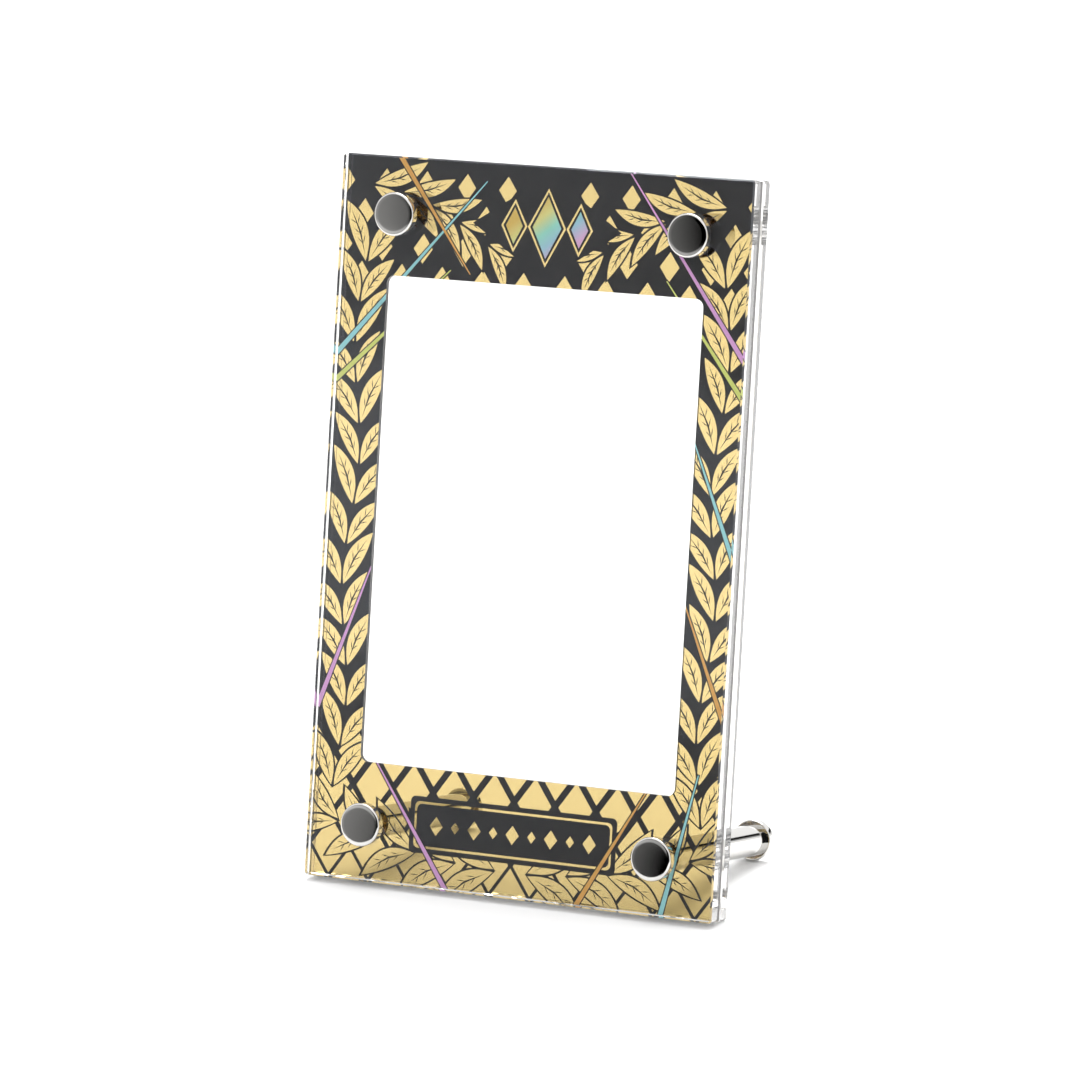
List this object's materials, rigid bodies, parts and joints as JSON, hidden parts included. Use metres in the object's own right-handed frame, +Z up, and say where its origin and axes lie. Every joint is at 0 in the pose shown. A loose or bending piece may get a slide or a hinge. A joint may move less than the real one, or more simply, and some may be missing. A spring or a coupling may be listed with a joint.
{
  "type": "trading card frame",
  "caption": "Leaning display frame for a trading card: clear plates clamp a printed gold mirror sheet with a card pocket, on screwed-in steel legs.",
  "frame": {"origin": "centre of the bounding box at the table, under the middle of the frame and its legs", "axes": "+X to the viewer's right along the frame's width, +Y backwards from the front face to the feet, +Z up"},
  "size_m": [0.083, 0.0448, 0.1313],
  "materials": {
    "clear_acrylic": "polished clear acrylic",
    "gold_mirror": "half-clear gold mirror film on a clear sheet",
    "black_ink": "glossy dark ink",
    "lilac_foil": "metallic foil",
    "cyan_foil": "metallic foil",
    "lime_foil": "metallic foil",
    "orange_foil": "metallic foil",
    "rainbow_foil": "iridescent foil",
    "polished_steel": "polished stainless steel"
  },
  "bodies": {
    "root": {"front_plate": "clear_acrylic", "rear_plate": "clear_acrylic", "mirror_sheet": "gold_mirror", "print_black": "black_ink", "print_lilac": "lilac_foil", "print_cyan": "cyan_foil", "print_lime": "lime_foil", "print_orange": "orange_foil", "print_rainbow": "rainbow_foil", "cap_screw_top_left": "polished_steel", "cap_screw_top_right": "polished_steel", "cap_screw_bottom_left": "polished_steel", "cap_screw_bottom_right": "polished_steel", "cap_nut_left": "polished_steel", "leg_left": "polished_steel", "cap_nut_right": "polished_steel", "leg_right": "polished_steel"}
  },
  "joints": []
}
